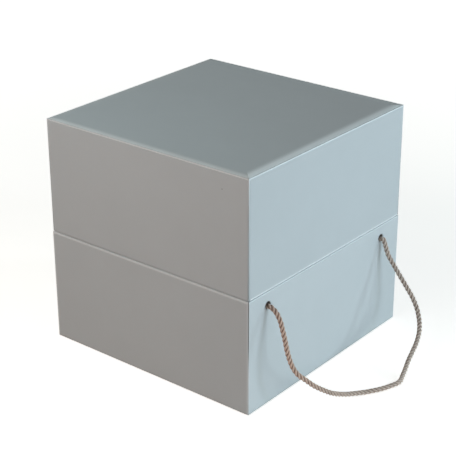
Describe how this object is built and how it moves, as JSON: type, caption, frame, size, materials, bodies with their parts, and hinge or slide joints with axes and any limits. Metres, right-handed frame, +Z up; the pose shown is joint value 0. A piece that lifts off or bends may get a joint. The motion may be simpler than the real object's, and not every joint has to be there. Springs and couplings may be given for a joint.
{
  "type": "flower box",
  "caption": "Square rigid paper-wrapped box with a deep lift-off lid over an inner neck and a twisted rope handle knotted through one side.",
  "frame": {"origin": "centre of the underside, on the surface that the box stands on", "axes": "+Z up through the lid, +X towards the side that carries the rope handle, -Y towards the front face"},
  "size_m": [0.2779, 0.21, 0.2005],
  "materials": {
    "wrap_paper": "smooth pale blue-grey wrapping paper with a faint satin sheen",
    "board": "raw grey board",
    "white_paper": "matt white lining paper",
    "stay_tape": "brown gummed paper tape",
    "rope": "three-strand twisted natural-fibre rope"
  },
  "bodies": {
    "base": {"bottom_sheet": "white_paper", "base_wrap": "wrap_paper", "base_board": "board", "base_corner_tapes": "stay_tape", "base_liner": "white_paper", "neck_board": "board", "neck_wrap": "white_paper", "rope_end_front": "rope", "rope_end_rear": "rope"},
    "lid": {"lid_wrap": "wrap_paper", "lid_board": "board", "lid_corner_tapes": "stay_tape", "lid_liner": "white_paper"},
    "handle": {"rope_loop": "rope"}
  },
  "joints": [
    {"name": "lid_lift", "type": "slide", "parent": "base", "child": "lid", "axis": [0, 0, 1], "range_m": [0, 0.14]},
    {"name": "handle_swing", "type": "hinge", "parent": "base", "child": "handle", "pos_m": [0.108, -0.002, 0.0876], "axis": [0, -1, 0], "range_deg": [0, 125]}
  ]
}
